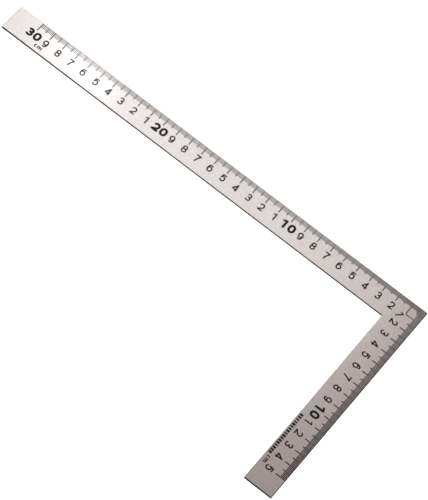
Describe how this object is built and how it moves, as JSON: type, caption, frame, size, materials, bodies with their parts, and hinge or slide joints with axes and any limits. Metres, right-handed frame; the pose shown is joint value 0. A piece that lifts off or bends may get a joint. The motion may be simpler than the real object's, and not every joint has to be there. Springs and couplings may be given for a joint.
{
  "type": "steel square ruler",
  "caption": "Flat L-shaped stainless steel square with etched, black-filled centimetre scales along both outer edges, for measuring, marking and cutting at right angles.",
  "frame": {"origin": "outer corner of the square, on the underside", "axes": "+X along the outer edge of the long arm, +Y along the outer edge of the short arm, +Z out of the graduated face"},
  "size_m": [0.318, 0.1645, 0.0015],
  "materials": {
    "blade_steel": "satin stainless sheet, fine even grain, lightly broken edges",
    "marking_enamel": "black enamel baked in etched marks, flush with the face"
  },
  "bodies": {
    "root": {"square_blade": "blade_steel", "corner_numeral_01": "marking_enamel", "corner_square_mark": "marking_enamel", "long_arm_numeral_02": "marking_enamel", "long_arm_numeral_03": "marking_enamel", "long_arm_numeral_04": "marking_enamel", "long_arm_numeral_05": "marking_enamel", "long_arm_numeral_06": "marking_enamel", "long_arm_numeral_07": "marking_enamel", "long_arm_numeral_08": "marking_enamel", "long_arm_numeral_09": "marking_enamel", "long_arm_numeral_10_left": "marking_enamel", "long_arm_numeral_10_right": "marking_enamel", "long_arm_numeral_11": "marking_enamel", "long_arm_numeral_12": "marking_enamel", "long_arm_numeral_13": "marking_enamel", "long_arm_numeral_14": "marking_enamel", "long_arm_numeral_15": "marking_enamel", "long_arm_numeral_16": "marking_enamel", "long_arm_numeral_17": "marking_enamel", "long_arm_numeral_18": "marking_enamel", "long_arm_numeral_19": "marking_enamel", "long_arm_numeral_20_left": "marking_enamel", "long_arm_numeral_20_right": "marking_enamel", "long_arm_numeral_21": "marking_enamel", "long_arm_numeral_22": "marking_enamel", "long_arm_numeral_23": "marking_enamel", "long_arm_numeral_24": "marking_enamel", "long_arm_numeral_25": "marking_enamel", "long_arm_numeral_26": "marking_enamel", "long_arm_numeral_27": "marking_enamel", "long_arm_numeral_28": "marking_enamel", "long_arm_numeral_29": "marking_enamel", "long_arm_numeral_30_left": "marking_enamel", "long_arm_numeral_30_right": "marking_enamel", "long_arm_unit_c": "marking_enamel", "long_arm_unit_m": "marking_enamel", "short_arm_numeral_02": "marking_enamel", "short_arm_numeral_03": "marking_enamel", "short_arm_numeral_04": "marking_enamel", "short_arm_numeral_05": "marking_enamel", "short_arm_numeral_06": "marking_enamel", "short_arm_numeral_07": "marking_enamel", "short_arm_numeral_08": "marking_enamel", "short_arm_numeral_09": "marking_enamel", "short_arm_numeral_10_left": "marking_enamel", "short_arm_numeral_10_right": "marking_enamel", "short_arm_numeral_11": "marking_enamel", "short_arm_numeral_12": "marking_enamel", "short_arm_numeral_13": "marking_enamel", "short_arm_numeral_14": "marking_enamel", "short_arm_numeral_15": "marking_enamel", "short_arm_unit_c": "marking_enamel", "short_arm_unit_m": "marking_enamel"}
  },
  "joints": []
}
